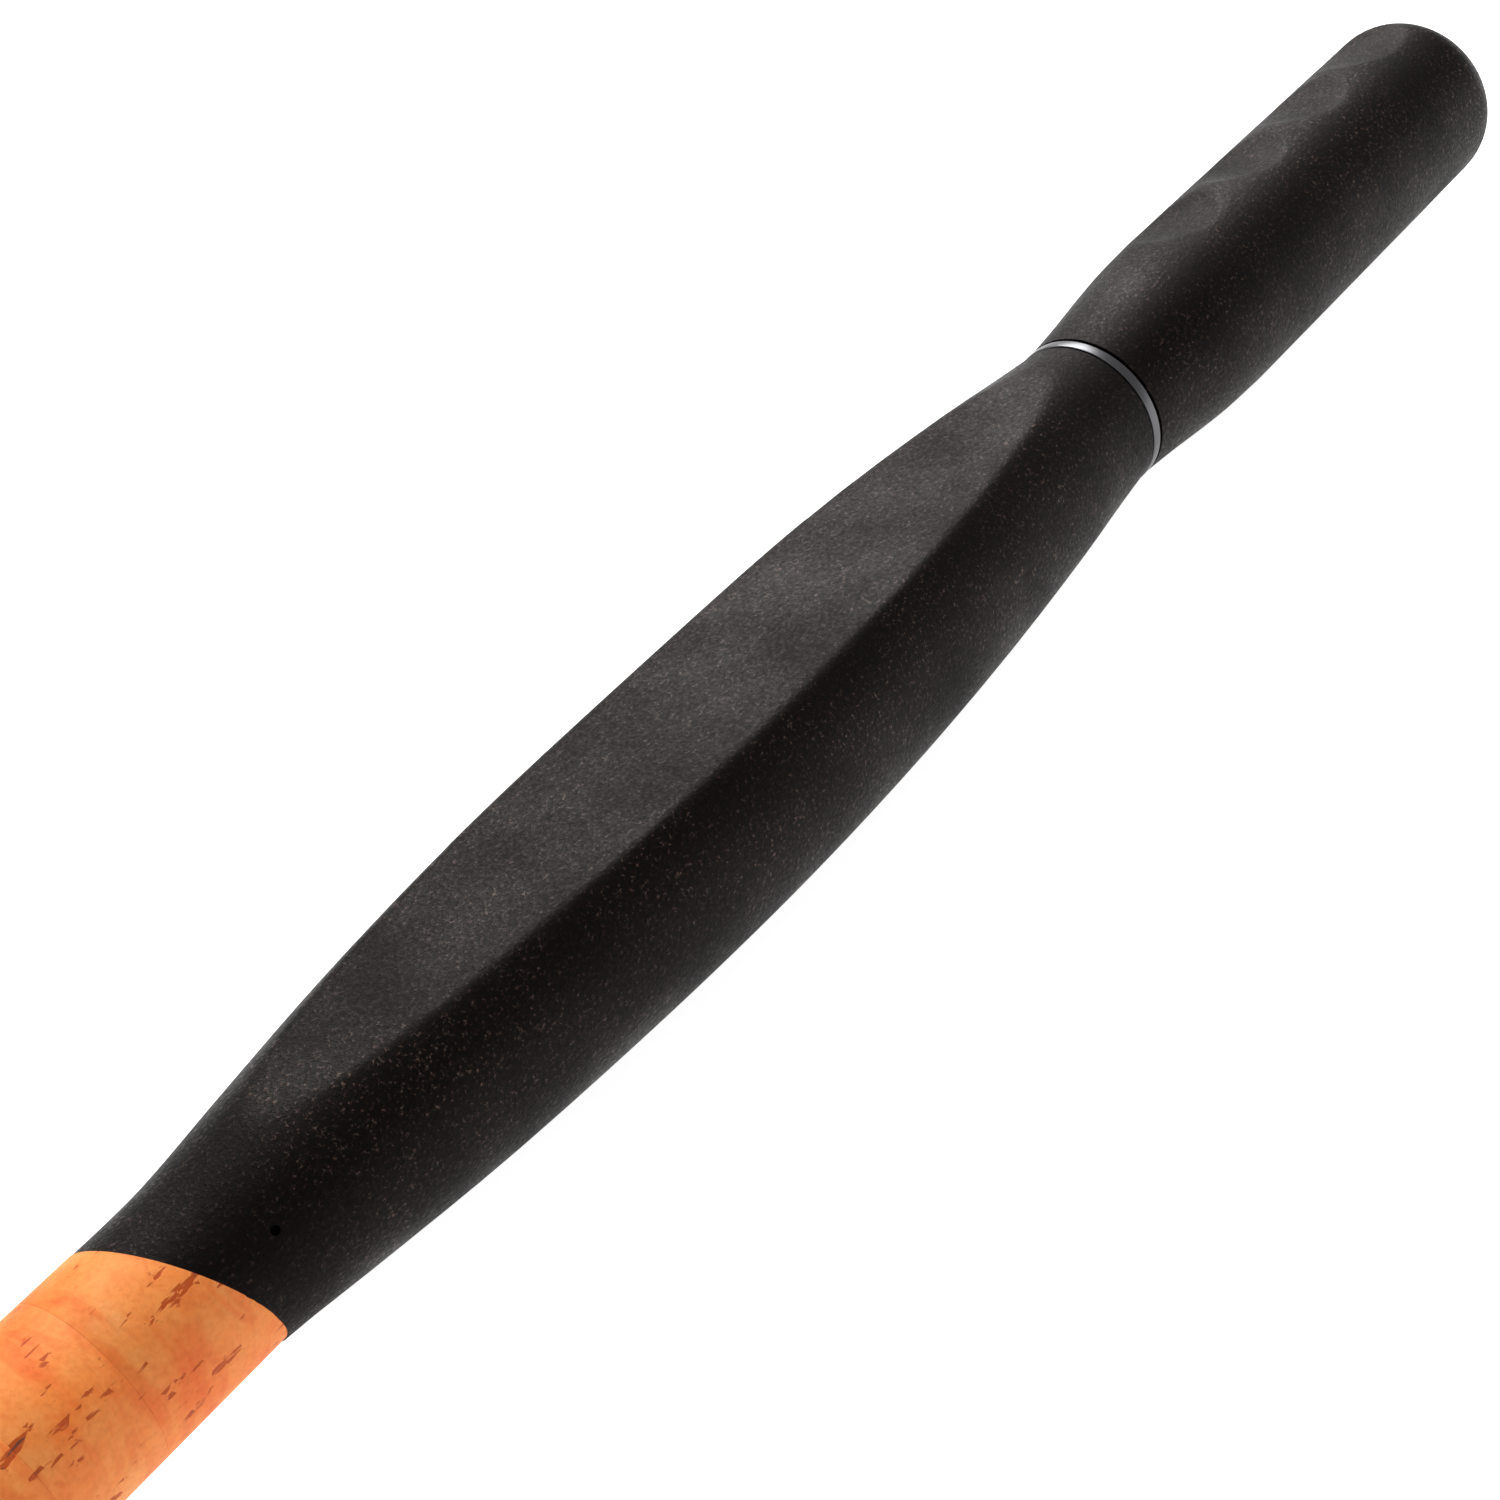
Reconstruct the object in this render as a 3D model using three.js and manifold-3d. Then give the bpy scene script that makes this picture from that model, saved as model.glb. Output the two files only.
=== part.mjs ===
// The handle section of a two-piece spinning rod, in millimetres, +Z up.
// It lies on its round back with the butt end's face at the origin and the tip towards +X.
// Each piece is drawn in a handle frame: X is the handle's axis, and -Z is the reel side,
// where the fingers close and the reel sits. The last group turns that frame about the axis,
// so that one of the rear grip's two flats faces up and the other faces -Y.
import * as THREE from 'three';
import { mergeVertices } from 'three/addons/utils/BufferGeometryUtils.js';
import Module from 'manifold-3d';

// Driving dimensions.
const GAP = 0.3;               // glue line or clearance between two touching pieces
const SIDES = 32;              // facets round the handle
const BORE_R = 6.3;            // reamed hole of everything that slides over the blank
const BLANK_R = 6.0;           // rod blank, outside
const SOCKET_R = 4.8;          // its bore, and the ferrule socket for the upper section
const BLANK_FROM = 8;          // the blank starts inside the butt grip
const SPLICE_AT = 556.1;       // where the ferrule tube is spliced to the blank
const SOCKET_FROM = 559.2;     // bottom of the socket
const SPIGOT_LENGTH = 28;      // the spigot inside the splice
const FRONT_END = 610;

const BUTT_R = 14.1;           // butt grip
const BUTT_EDGE = 6.5;         // rounding of its end
const BUTT_TO = 103.9;
const NECK_R = 11.85;          // the waist at the trim ring
const SCOOP_X = [13, 32.4, 51.8, 71.2];
const SCOOP_HALF_LENGTH = 8.3;
const SCOOP_DEPTH = 1.5;
const SCOOP_TILT = 0.54;       // radians from the reel side to the middle of a scoop

const RING_FROM = 104.4;       // trim ring between the two foam grips
const RING_TO = 106;

const REAR_FROM = 106.3;       // rear grip
const REAR_MIDDLE = 190;
const REAR_R = 17.4;
const REAR_TO = 288.2;         // where its slanted front end crosses the axis
const SLANT = 0.44;            // radians between that end and a square cut
const FLAT_AT = 12.45;         // distance of the two flats from the axis
const KEEL_AT = 16.8;          // rounding of the edge where the flats meet

const CORK_R = 11.1;
const CORK_RING = 12.7;        // one cork ring along the handle
const CORK_RINGS = 8;

const CHECK_R = 11.6;          // rear winding check
const CHECK_LENGTH = 2;

const SEAT_R = 10.9;           // reel seat barrel
const SEAT_BORE_R = 7.8;
const SEAT_LENGTH = 106;
const THREAD_R = 10.2;
const THREAD_LENGTH = 62;
const BED_AT = 8.9;            // flat bed for the reel foot
const FOOT_HALF_WIDTH = 7;     // pocket for the reel foot
const FOOT_HEIGHT = 5.2;
const HOOD_WALL = 1.5;
const HOOD_END_WALL = 2.2;
const CUSHION = 0.8;
const FIXED_HOOD_LENGTH = 21;
const HOOD_LENGTH = 20;
const NUT_LENGTH = 14;
const NUT_R = 12.9;
const NUT_FLUTES = 16;
const ARBOR_LENGTH = 18;

const FORE_RINGS = 3;
const FORE_R = [13.2, 13.5, 13.1, 11.4];
const FORE_CAP_LENGTH = 16;
const FORE_CAP_R = 8.9;

const FRONT_CHECK_LENGTH = 6;
const WRAP_LENGTH = 9;         // thread binding on each foot of the hook keeper
const WRAP_R = 6.75;
const WRAP_OFF = 3.5;          // from the keeper's pivot to the bindings
const COLLAR_LENGTH = 9;       // metal collar round the ferrule socket's mouth
const COLLAR_R = 7.2;

const KEEPER_X = 579;          // hook keeper, on the reel side
const KEEPER_WIRE_R = 0.6;
const KEEPER_HALF = 3.9;       // half the wire loop's width
const KEEPER_LENGTH = 9.5;
const KEEPER_PIVOT_AT = 8.8;   // the pivot's distance from the axis
const KEEPER_EYE_R = 0.8;
const KEEPER_FOOT = 0.7;       // thickness of its base
const KEEPER_FOOT_HALF = 1.6;
const KEEPER_POST_HALF = 1.9;

// Places worked out from them.
const CORK_TO = REAR_TO + CORK_RINGS * CORK_RING;
const CHECK_FROM = CORK_TO + GAP;
const SEAT_FROM = CHECK_FROM + CHECK_LENGTH + GAP;
const SEAT_TO = SEAT_FROM + SEAT_LENGTH;
const THREAD_FROM = SEAT_TO - THREAD_LENGTH;
const NUT_TO = SEAT_TO - 1;
const NUT_FROM = NUT_TO - NUT_LENGTH;
const HOOD_TO = NUT_FROM - GAP;
const HOOD_FROM = HOOD_TO - HOOD_LENGTH;
const FORE_FROM = SEAT_TO + GAP;
const FORE_CAP_FROM = FORE_FROM + FORE_RINGS * CORK_RING;
const FRONT_CHECK_FROM = FORE_CAP_FROM + FORE_CAP_LENGTH + GAP;
const COLLAR_FROM = FRONT_END - COLLAR_LENGTH;

const wasm = await Module();
wasm.setup();

const FINISHES = {
  foam: { color: 0x2a2624, roughness: 0.95, metalness: 0 },
  cork: { color: 0xf0a062, roughness: 0.85, metalness: 0 },
  trim: { color: 0x8f8f90, roughness: 0.35, metalness: 1 },
  seat: { color: 0x1c1d1f, roughness: 0.4, metalness: 0 },
  steel: { color: 0xa9abad, roughness: 0.25, metalness: 1 },
  liner: { color: 0x33353a, roughness: 0.6, metalness: 0 },
  carbon: { color: 0x17181a, roughness: 0.2, metalness: 0 },
  arbor: { color: 0x8c8577, roughness: 0.9, metalness: 0 },
  rubber: { color: 0x202020, roughness: 0.9, metalness: 0 },
  thread: { color: 0x1f2a33, roughness: 0.3, metalness: 0 },
};

// A closed geometry as a solid that can be cut and joined.
function solidOf(geometry) {
  const bare = geometry.clone();
  bare.deleteAttribute('normal');
  bare.deleteAttribute('uv');
  const merged = mergeVertices(bare, 1e-4);
  const triVerts = new Uint32Array(merged.index.array);
  const vertProperties = new Float32Array(merged.attributes.position.array);
  return new wasm.Manifold(new wasm.Mesh({ numProp: 3, vertProperties, triVerts }));
}

// A solid back as a geometry.
function geometryOf(solid) {
  const mesh = solid.getMesh();
  const geometry = new THREE.BufferGeometry();
  geometry.setAttribute('position', new THREE.BufferAttribute(mesh.vertProperties, 3));
  geometry.setIndex(new THREE.BufferAttribute(mesh.triVerts, 1));
  geometry.computeVertexNormals();
  return geometry;
}

// [x, radius] points turned about the handle's axis. A facet, not a corner, faces each quarter.
function turned(outline, sides = SIDES) {
  const points = outline.map(([x, radius]) => new THREE.Vector2(radius, x));
  return new THREE.LatheGeometry(points, sides, Math.PI / sides).rotateZ(-Math.PI / 2);
}

// The outside of a sleeve, from rear to front, closed by its bore.
function sleeve(outside, bore = BORE_R, sides = SIDES) {
  const rear = outside[0][0];
  const front = outside[outside.length - 1][0];
  return turned([[rear, bore], ...outside, [front, bore], [rear, bore]], sides);
}

function plainSleeve(from, to, radius, bore = BORE_R, sides = SIDES) {
  return sleeve([[from, radius], [to, radius]], bore, sides);
}

function box(low, high) {
  const size = high.map((value, i) => value - low[i]);
  const centre = high.map((value, i) => (value + low[i]) / 2);
  return new THREE.BoxGeometry(...size).translate(...centre);
}

// Samples of a smooth curve through a few [x, radius] points.
function smooth(points, samples) {
  const curve = new THREE.SplineCurve(points.map(([x, radius]) => new THREE.Vector2(x, radius)));
  return curve.getPoints(samples).map((point) => [point.x, point.y]);
}

function piece(name, finish, geometry) {
  const mesh = new THREE.Mesh(geometry, new THREE.MeshStandardMaterial(FINISHES[finish]));
  mesh.name = name;
  return mesh;
}

// The foam butt grip: a straight grip with a round end, a waist, and four scoops on each side.
function buttGrip() {
  const corner = [];
  for (let step = 1; step < 6; step += 1) {
    const angle = (step / 6) * (Math.PI / 2);
    const x = BUTT_EDGE * (1 - Math.sin(angle));
    corner.unshift([x, BUTT_R - BUTT_EDGE * (1 - Math.cos(angle))]);
  }
  const waist = smooth([
    [75, BUTT_R],
    [83, 13.8],
    [89, 13.3],
    [97, 12.45],
    [BUTT_TO, NECK_R],
  ], 7);
  const outline = [
    [0, 0],
    [0, BUTT_R - BUTT_EDGE],
    ...corner,
    [BUTT_EDGE, BUTT_R],
    ...waist,
    [BUTT_TO, BORE_R],
    [BLANK_FROM - GAP, BORE_R],
    [BLANK_FROM - GAP, 0],
  ];
  let grip = solidOf(turned(outline));
  const cutter = (SCOOP_HALF_LENGTH ** 2 + SCOOP_DEPTH ** 2) / (2 * SCOOP_DEPTH);
  for (const x of SCOOP_X) {
    for (const side of [-1, 1]) {
      const scoop = new THREE.CylinderGeometry(cutter, cutter, 3 * BUTT_R, 44);
      scoop.translate(x, 0, -(BUTT_R - SCOOP_DEPTH + cutter));
      scoop.rotateX(side * SCOOP_TILT);
      grip = grip.subtract(solidOf(scoop));
    }
  }
  return geometryOf(grip);
}

// A thick slab whose rear face is the slanted joint between foam and cork, moved by an offset.
function slantedSlab(offset) {
  const slab = box([0, -60, -60], [120, 60, 60]);
  return solidOf(slab.rotateY(-SLANT).translate(REAR_TO + offset / Math.cos(SLANT), 0, 0));
}

// The foam rear grip: a barrel with two long flats that meet in a soft edge on the reel side.
function rearGrip() {
  const outline = smooth([
    [REAR_FROM, NECK_R - 0.05],
    [114, 12.6],
    [128, 14.2],
    [148, 15.9],
    [169, 17.0],
    [REAR_MIDDLE, REAR_R],
    [210, 17.1],
    [231, 16.15],
    [251, 14.75],
    [269, 12.85],
    [280, 11.55],
    [287, CORK_R],
    [301, CORK_R],
  ], 26);
  let grip = solidOf(sleeve(outline));
  for (const side of [-1, 1]) {
    const flat = box([90, -40, -40], [310, 40, -FLAT_AT]);
    grip = grip.subtract(solidOf(flat.rotateX(side * Math.PI / 4)));
  }
  grip = grip.subtract(solidOf(box([90, -20, -30], [310, 20, -KEEL_AT])));
  return geometryOf(grip.subtract(slantedSlab(0)));
}

// One ring of the cork stack. The rear end of the first follows the slant.
function corkRing(number) {
  const from = REAR_TO + (number - 1) * CORK_RING + GAP / 2;
  const to = REAR_TO + number * CORK_RING - GAP / 2;
  if (number > 1) return plainSleeve(from, to, CORK_R);
  const blank = solidOf(plainSleeve(REAR_TO - 12, to, CORK_R));
  return geometryOf(blank.intersect(slantedSlab(GAP)));
}

// Arbors that fill the space between the blank and the reel seat.
function arbor(number) {
  const room = SEAT_LENGTH - ARBOR_LENGTH - 8;
  const from = SEAT_FROM + 4 + ((number - 1) * room) / 2;
  return plainSleeve(from, from + ARBOR_LENGTH, SEAT_BORE_R - GAP, BORE_R, 24);
}

// The reel seat's barrel: a flat bed for the reel foot and a reduced thread at the front.
function seatBarrel() {
  const body = solidOf(sleeve([
    [SEAT_FROM, SEAT_R],
    [THREAD_FROM - 1, SEAT_R],
    [THREAD_FROM, THREAD_R],
    [SEAT_TO, THREAD_R],
  ], SEAT_BORE_R));
  const bed = box([SEAT_FROM + FIXED_HOOD_LENGTH / 3, -20, -20], [SEAT_TO + 1, 20, -BED_AT]);
  return geometryOf(body.subtract(solidOf(bed)));
}

// A hood: a sleeve over the barrel with a raised pocket that opens towards the middle.
function hood(from, to, bore, opensForward) {
  const roof = BED_AT + FOOT_HEIGHT + HOOD_WALL;
  const half = FOOT_HALF_WIDTH + HOOD_WALL;
  const arch = new THREE.Shape();
  arch.moveTo(-half, 0);
  arch.lineTo(half, 0);
  arch.lineTo(half, roof - 5);
  arch.quadraticCurveTo(half, roof - 1, half - 4.5, roof - 0.4);
  arch.quadraticCurveTo(0, roof + 0.4, -half + 4.5, roof - 0.4);
  arch.quadraticCurveTo(-half, roof - 1, -half, roof - 5);
  arch.closePath();
  const options = { depth: to - from, bevelEnabled: false, curveSegments: 5 };
  const raised = new THREE.ExtrudeGeometry(arch, options);
  const across = new THREE.Vector3(0, -1, 0);
  const reelward = new THREE.Vector3(0, 0, -1);
  const along = new THREE.Vector3(1, 0, 0);
  raised.applyMatrix4(new THREE.Matrix4().makeBasis(across, reelward, along));
  raised.translate(from, 0, 0);
  const pocket = box(
    [opensForward ? from + HOOD_END_WALL : from - 1, -FOOT_HALF_WIDTH, -BED_AT - FOOT_HEIGHT],
    [opensForward ? to + 1 : to - HOOD_END_WALL, FOOT_HALF_WIDTH, 0],
  );
  const inside = turned([[from - 1, 0], [from - 1, bore], [to + 1, bore], [to + 1, 0]]);
  const shell = solidOf(plainSleeve(from, to, bore + HOOD_WALL, bore));
  const filled = shell.add(solidOf(raised));
  return geometryOf(filled.subtract(solidOf(inside)).subtract(solidOf(pocket)));
}

// A thin cushion under a hood's roof.
function hoodCushion(from, to) {
  const top = BED_AT + FOOT_HEIGHT - GAP;
  const width = FOOT_HALF_WIDTH - GAP;
  return box([from, -width, -top], [to, width, -top + CUSHION]);
}

// The fluted nut that drives the sliding hood.
function lockingNut() {
  let nut = solidOf(sleeve([
    [NUT_FROM, NUT_R - 1],
    [NUT_FROM + 1, NUT_R],
    [NUT_TO - 1, NUT_R],
    [NUT_TO, NUT_R - 1],
  ], THREAD_R + GAP));
  for (let flute = 0; flute < NUT_FLUTES; flute += 1) {
    const groove = new THREE.CylinderGeometry(1, 1, NUT_LENGTH - 5, 8);
    groove.rotateZ(Math.PI / 2).translate((NUT_FROM + NUT_TO) / 2, 0, NUT_R + 0.45);
    groove.rotateX((flute * 2 * Math.PI) / NUT_FLUTES);
    nut = nut.subtract(solidOf(groove));
  }
  return geometryOf(nut);
}

// One cork ring of the fore grip, whose outside tapers from one radius to the next.
function foreRing(number) {
  const from = FORE_FROM + (number - 1) * CORK_RING;
  const to = from + CORK_RING - GAP;
  return sleeve([[from, FORE_R[number - 1]], [to, FORE_R[number]]]);
}

function foreCap() {
  const to = FORE_CAP_FROM + FORE_CAP_LENGTH;
  return sleeve(smooth([
    [FORE_CAP_FROM, FORE_R[FORE_RINGS]],
    [FORE_CAP_FROM + FORE_CAP_LENGTH * 0.45, 9.9],
    [to - 2, FORE_CAP_R + 0.2],
    [to, FORE_CAP_R],
  ], 7));
}

function frontCheck() {
  const to = FRONT_CHECK_FROM + FRONT_CHECK_LENGTH;
  return sleeve([
    [FRONT_CHECK_FROM, FORE_CAP_R - 0.2],
    [FRONT_CHECK_FROM + 1.5, FORE_CAP_R - 0.2],
    [to - 1, WRAP_R + 0.5],
    [to, WRAP_R + 0.2],
  ]);
}

// A solid plug in the blank's bore: the soft one in the butt, or the spigot in the splice.
function plug(from, to) {
  return turned([[from, 0], [from, SOCKET_R - GAP], [to, SOCKET_R - GAP], [to, 0]], 16);
}

// The hook keeper is drawn on the +Z side, and its group turns it to the reel side.
// One of the hook keeper's two bindings: thread wound round the blank and over a foot.
function footWrap(from) {
  const to = from + WRAP_LENGTH;
  const roof = BORE_R + KEEPER_FOOT + GAP;
  const side = KEEPER_FOOT_HALF + GAP;
  const hump = box([from, -side - 0.6, 0], [to, side + 0.6, roof + 0.5]);
  const foot = box([from - 1, -side, 0], [to + 1, side, roof]);
  const inside = turned([[from - 1, 0], [from - 1, BORE_R], [to + 1, BORE_R], [to + 1, 0]]);
  const wound = solidOf(plainSleeve(from, to, WRAP_R)).add(solidOf(hump));
  return geometryOf(wound.subtract(solidOf(inside)).subtract(solidOf(foot)));
}

// The hook keeper's base: a narrow foot along the blank with a post that holds the loop.
function keeperBase() {
  const half = WRAP_OFF + WRAP_LENGTH + 0.5;
  const top = BORE_R + KEEPER_FOOT;
  const foot = box(
    [KEEPER_X - half, -KEEPER_FOOT_HALF, BORE_R],
    [KEEPER_X + half, KEEPER_FOOT_HALF, top],
  );
  const post = box(
    [KEEPER_X - KEEPER_POST_HALF, -KEEPER_POST_HALF, BORE_R],
    [KEEPER_X + KEEPER_POST_HALF, KEEPER_POST_HALF, KEEPER_PIVOT_AT + KEEPER_POST_HALF],
  );
  const eye = new THREE.CylinderGeometry(KEEPER_EYE_R, KEEPER_EYE_R, 10, 16);
  eye.translate(KEEPER_X, 0, KEEPER_PIVOT_AT);
  return geometryOf(solidOf(foot).add(solidOf(post)).subtract(solidOf(eye)));
}

// The keeper's wire loop, folded forward, with its two ends in the eye from either side.
function keeperLoop() {
  const point = (x, y) => new THREE.Vector3(x, y, 0);
  const half = KEEPER_HALF;
  const bend = 1.5;
  const end = KEEPER_LENGTH;
  const route = new THREE.CurvePath();
  route.add(new THREE.LineCurve3(point(0, GAP / 2), point(0, half - bend)));
  route.add(new THREE.QuadraticBezierCurve3(
    point(0, half - bend),
    point(0, half),
    point(bend, half),
  ));
  route.add(new THREE.CubicBezierCurve3(
    point(bend, half),
    point(end + 2, half),
    point(end + 2, -half),
    point(bend, -half),
  ));
  route.add(new THREE.QuadraticBezierCurve3(
    point(bend, -half),
    point(0, -half),
    point(0, -half + bend),
  ));
  route.add(new THREE.LineCurve3(point(0, -half + bend), point(0, -GAP / 2)));
  const section = new THREE.Shape();
  section.absarc(0, 0, KEEPER_WIRE_R, 0, 2 * Math.PI);
  const options = { steps: 40, extrudePath: route, curveSegments: 4 };
  const wire = new THREE.ExtrudeGeometry(section, options);
  return wire.translate(KEEPER_X, 0, KEEPER_PIVOT_AT);
}

const handle = new THREE.Group();

handle.add(piece('butt_grip', 'foam', buttGrip()));
handle.add(piece('trim_ring', 'trim', plainSleeve(RING_FROM, RING_TO, NECK_R)));
handle.add(piece('rear_grip', 'foam', rearGrip()));
for (let number = 1; number <= CORK_RINGS; number += 1) {
  handle.add(piece(`cork_ring_${number}`, 'cork', corkRing(number)));
}

const rearCheck = plainSleeve(CHECK_FROM, CHECK_FROM + CHECK_LENGTH, CHECK_R);
handle.add(piece('rear_winding_check', 'trim', rearCheck));
handle.add(piece('seat_barrel', 'seat', seatBarrel()));
for (let number = 1; number <= 3; number += 1) {
  handle.add(piece(`seat_arbor_${number}`, 'arbor', arbor(number)));
}
const fixedTo = SEAT_FROM + FIXED_HOOD_LENGTH;
handle.add(piece('fixed_hood', 'steel', hood(SEAT_FROM, fixedTo, SEAT_R + GAP, true)));
const fixedCushion = hoodCushion(SEAT_FROM + HOOD_END_WALL + GAP, fixedTo);
handle.add(piece('fixed_hood_cushion', 'liner', fixedCushion));
const slidingHood = hood(HOOD_FROM, HOOD_TO, SEAT_R + GAP, false);
handle.add(piece('sliding_hood', 'steel', slidingHood));
const slidingCushion = hoodCushion(HOOD_FROM, HOOD_TO - HOOD_END_WALL - GAP);
handle.add(piece('sliding_hood_cushion', 'liner', slidingCushion));
handle.add(piece('locking_nut', 'seat', lockingNut()));

for (let number = 1; number <= FORE_RINGS; number += 1) {
  handle.add(piece(`fore_cork_ring_${number}`, 'cork', foreRing(number)));
}
handle.add(piece('fore_grip_cap', 'foam', foreCap()));
handle.add(piece('front_winding_check', 'trim', frontCheck()));

const blank = plainSleeve(BLANK_FROM, SPLICE_AT, BLANK_R, SOCKET_R, 24);
handle.add(piece('rod_blank', 'carbon', blank));
handle.add(piece('butt_plug', 'rubber', plug(BLANK_FROM + 1, BLANK_FROM + 15)));
const ferruleTube = plainSleeve(SPLICE_AT + GAP, FRONT_END, BLANK_R, SOCKET_R, 24);
handle.add(piece('ferrule_tube', 'carbon', ferruleTube));
const spigot = plug(SOCKET_FROM - SPIGOT_LENGTH, SOCKET_FROM);
handle.add(piece('splice_spigot', 'carbon', spigot));
handle.add(piece('ferrule_collar', 'trim', plainSleeve(COLLAR_FROM, FRONT_END, COLLAR_R)));

const keeper = new THREE.Group();
keeper.add(piece('keeper_base', 'steel', keeperBase()));
keeper.add(piece('keeper_loop', 'steel', keeperLoop()));
keeper.add(piece('rear_foot_wrap', 'thread', footWrap(KEEPER_X - WRAP_LENGTH - WRAP_OFF)));
keeper.add(piece('front_foot_wrap', 'thread', footWrap(KEEPER_X + WRAP_OFF)));
keeper.rotation.x = Math.PI;
handle.add(keeper);

handle.rotation.x = -0.75 * Math.PI;

const part = new THREE.Group();
part.add(handle);

export default part;
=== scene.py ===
"""The handle section of a two-piece spinning rod: foam grips, cork, a screw reel seat,
a fold-down hook keeper and a ferrule socket.

The handle's axis is X, from the butt end at the origin to the ferrule at the tip end.
Pieces are drawn with the reel side towards -Z and are then turned about the axis by TURN,
the way the frame's nodes lie. Lengths are in metres.
"""
import math

import bmesh
import bpy
from mathutils import Matrix, Vector


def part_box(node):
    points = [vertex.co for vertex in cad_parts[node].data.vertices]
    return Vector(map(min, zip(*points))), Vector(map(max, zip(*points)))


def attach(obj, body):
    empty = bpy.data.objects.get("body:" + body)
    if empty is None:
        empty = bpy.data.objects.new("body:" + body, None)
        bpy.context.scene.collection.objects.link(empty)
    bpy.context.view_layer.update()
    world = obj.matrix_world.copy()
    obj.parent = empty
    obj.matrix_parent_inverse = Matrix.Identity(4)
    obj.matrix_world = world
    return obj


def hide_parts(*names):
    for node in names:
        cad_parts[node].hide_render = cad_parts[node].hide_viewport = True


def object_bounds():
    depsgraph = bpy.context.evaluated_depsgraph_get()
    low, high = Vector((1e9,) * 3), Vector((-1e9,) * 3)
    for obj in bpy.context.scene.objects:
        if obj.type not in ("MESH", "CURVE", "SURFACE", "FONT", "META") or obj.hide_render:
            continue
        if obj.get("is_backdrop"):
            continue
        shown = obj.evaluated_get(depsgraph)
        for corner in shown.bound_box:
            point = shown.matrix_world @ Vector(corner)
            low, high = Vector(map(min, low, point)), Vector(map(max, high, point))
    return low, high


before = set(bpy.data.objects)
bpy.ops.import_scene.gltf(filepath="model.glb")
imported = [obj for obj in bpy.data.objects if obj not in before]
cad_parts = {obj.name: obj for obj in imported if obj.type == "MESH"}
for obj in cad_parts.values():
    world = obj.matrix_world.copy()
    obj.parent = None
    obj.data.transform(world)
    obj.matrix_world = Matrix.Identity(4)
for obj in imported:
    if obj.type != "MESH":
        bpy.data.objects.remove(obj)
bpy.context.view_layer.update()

MM = 0.001
TURN = -0.75 * math.pi
REEL_SIDE = Vector((0, -math.sqrt(0.5), math.sqrt(0.5)))
AXIS = Vector((1, 0, 0))


def place(node, end):
    """Where a node starts (end=0) or stops (end=1) along the handle."""
    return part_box(node)[end].x


# Driving dimensions, the same as the frame's.
SIDES = 128
BORE = 6.3 * MM
BLANK_R = 6.0 * MM
SOCKET_R = 4.8 * MM
ON_BLANK = 6.02 * MM
BUTT_R = 14.1 * MM
BUTT_EDGE = 6.5 * MM
NECK_R = 11.85 * MM
SCOOP_X = [13 * MM, 32.4 * MM, 51.8 * MM, 71.2 * MM]
SCOOP_HALF_LENGTH = 8.3 * MM
SCOOP_DEPTH = 1.5 * MM
SCOOP_TILT = 0.54
FLAT_AT = 12.45 * MM
KEEL_AT = 16.9 * MM
KEEL_BLEND = 0.6 * MM
REAR_TO = 288.2 * MM
SLANT = 0.44
BLOWHOLE = (279.3 * MM, -10.93 * MM, 1.97 * MM)
BLOWHOLE_R = 0.75 * MM
CORK_R = 11.1 * MM
CORK_RING = 12.7 * MM
CORK_RINGS = 8
GLUE = 0.02 * MM
CHECK_R = 11.6 * MM
SEAT_R = 10.9 * MM
SEAT_BORE = 7.8 * MM
THREAD_LENGTH = 62 * MM
THREAD_R = 10.2 * MM
THREAD_ROOT_R = 9.6 * MM
THREAD_PITCH = 2 * MM
BED_AT = 8.9 * MM
BED_START = 7 * MM
FOOT_HALF_WIDTH = 7 * MM
FOOT_HEIGHT = 5.2 * MM
HOOD_WALL = 1.5 * MM
HOOD_END_WALL = 2.2 * MM
HOOD_DROP = 2.0 * MM
CUSHION = 0.8 * MM
NUT_R = 12.9 * MM
NUT_FLUTES = 16
FORE_R = [13.2, 13.5, 13.1, 11.4]
FORE_RINGS = 3
FORE_CAP_R = 8.9 * MM
WRAP_R = 6.75 * MM
WRAP_PITCH = 0.36 * MM
COLLAR_R = 7.2 * MM
KEEPER_X = 579 * MM
KEEPER_WIRE_R = 0.6 * MM
KEEPER_HALF = 3.9 * MM
KEEPER_LENGTH = 9.5 * MM
KEEPER_PIVOT_AT = 8.8 * MM
KEEPER_EYE_R = 0.8 * MM
KEEPER_FOOT = 0.7 * MM
KEEPER_FOOT_HALF = 1.6 * MM
KEEPER_POST_HALF = 1.9 * MM
# The frame leaves this gap beside a few glued pieces. Their finished faces meet.
GLUED_GAP = 0.26 * MM
# Foam is remeshed this fine, so its cut edges can be sanded round.
BUTT_VOXEL = 0.55 * MM
REAR_VOXEL = 0.6 * MM
BUTT_SANDING = 7
REAR_SANDING = 12
SANDING = 0.5
# A thread turn's outline, as millimetres along it and the radius there.
THREAD_TURN = [(0, THREAD_ROOT_R), (0.45, THREAD_R), (0.95, THREAD_R), (1.4, THREAD_ROOT_R)]
# The nut's end: millimetres from its face, share of the flutes' depth, and how far it is rounded.
NUT_END = [(0, 0, 1.0), (0.35, 0, 0.35), (1.0, 0, 0), (2.2, 0, 0), (2.8, 0.55, 0), (3.6, 1, 0)]
NUT_FLUTE = 0.6 * MM


# Modelling by hand, in code.

def deselect():
    if bpy.context.object and bpy.context.object.mode != "OBJECT":
        bpy.ops.object.mode_set(mode="OBJECT")
    bpy.ops.object.select_all(action="DESELECT")


def pick(piece):
    deselect()
    piece.select_set(True)
    bpy.context.view_layer.objects.active = piece
    return piece


def apply_place(piece):
    pick(piece)
    bpy.ops.object.transform_apply(location=True, rotation=True, scale=True)
    return piece


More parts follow.
